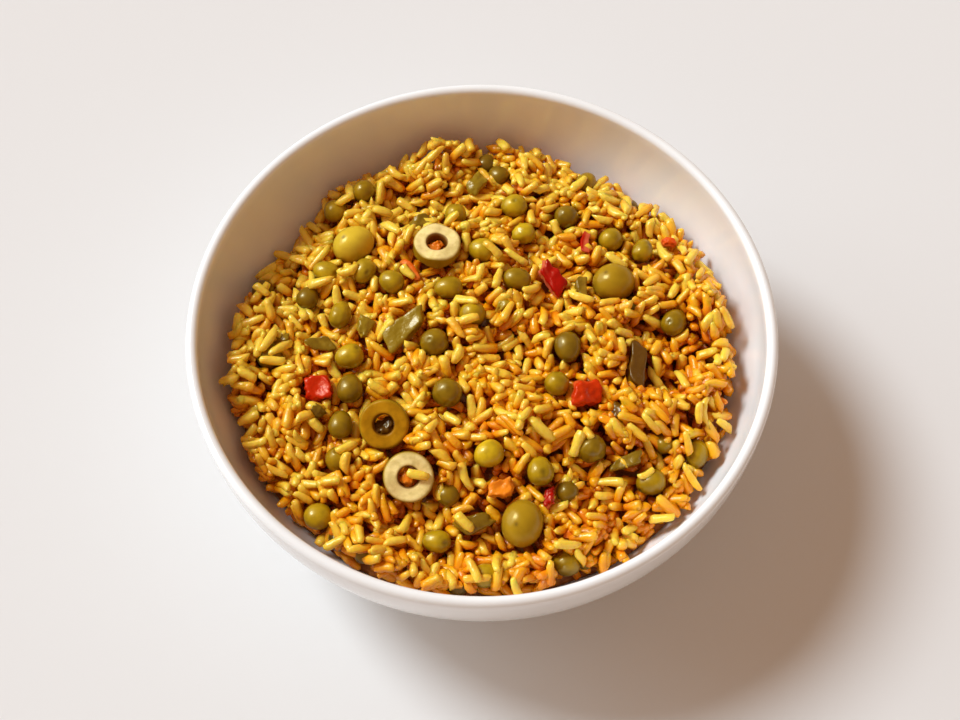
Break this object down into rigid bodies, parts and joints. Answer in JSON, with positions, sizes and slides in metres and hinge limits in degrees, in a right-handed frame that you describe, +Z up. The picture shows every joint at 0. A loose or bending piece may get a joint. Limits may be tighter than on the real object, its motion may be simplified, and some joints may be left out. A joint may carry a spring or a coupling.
{
  "type": "bowl of yellow rice with pigeon peas",
  "caption": "Round white bowl filled to a low mound with yellow rice, pigeon peas, green olives and diced red and green pepper.",
  "frame": {"origin": "on the table, under the middle of the bowl", "axes": "+Z up; -Y towards the viewer; the bowl is round about Z"},
  "size_m": [0.18, 0.18, 0.062],
  "materials": {
    "white_glaze": "smooth white glaze, inside and out",
    "yellow_rice": "cooked rice grains, moist, with a soft sheen",
    "pea_skin": "wet, thin, slightly wrinkled skin",
    "olive_skin": "wet, smooth skin",
    "olive_flesh": "moist cut flesh with a darker skin",
    "red_pepper": "soft cooked flesh, wet",
    "green_pepper": "soft cooked skin, wet"
  },
  "bodies": {
    "root": {"bowl": "white_glaze", "rice": "yellow_rice", "pea_01": "pea_skin", "pea_02": "pea_skin", "pea_03": "pea_skin", "pea_04": "pea_skin", "pea_05": "pea_skin", "pea_06": "pea_skin", "pea_07": "pea_skin", "pea_08": "pea_skin", "pea_09": "pea_skin", "pea_10": "pea_skin", "pea_11": "pea_skin", "pea_12": "pea_skin", "pea_13": "pea_skin", "pea_14": "pea_skin", "pea_15": "pea_skin", "pea_16": "pea_skin", "pea_17": "pea_skin", "pea_18": "pea_skin", "pea_19": "pea_skin", "pea_20": "pea_skin", "pea_21": "pea_skin", "pea_22": "pea_skin", "pea_23": "pea_skin", "pea_24": "pea_skin", "pea_25": "pea_skin", "pea_26": "pea_skin", "pea_27": "pea_skin", "pea_28": "pea_skin", "pea_29": "pea_skin", "pea_30": "pea_skin", "pea_31": "pea_skin", "pea_32": "pea_skin", "pea_33": "pea_skin", "pea_34": "pea_skin", "pea_35": "pea_skin", "pea_36": "pea_skin", "pea_37": "pea_skin", "pea_38": "pea_skin", "olive_1": "olive_skin", "olive_2": "olive_skin", "olive_3": "olive_skin", "olive_slice_1": "olive_flesh", "olive_slice_2": "olive_flesh", "olive_slice_3": "olive_flesh", "red_pepper_1": "red_pepper", "red_pepper_2": "red_pepper", "red_pepper_3": "red_pepper", "red_pepper_4": "red_pepper", "red_pepper_5": "red_pepper", "red_pepper_6": "red_pepper", "green_pepper_1": "green_pepper", "green_pepper_2": "green_pepper", "green_pepper_3": "green_pepper", "green_pepper_4": "green_pepper", "green_pepper_5": "green_pepper", "green_pepper_6": "green_pepper", "green_pepper_7": "green_pepper", "green_pepper_8": "green_pepper"}
  },
  "joints": []
}
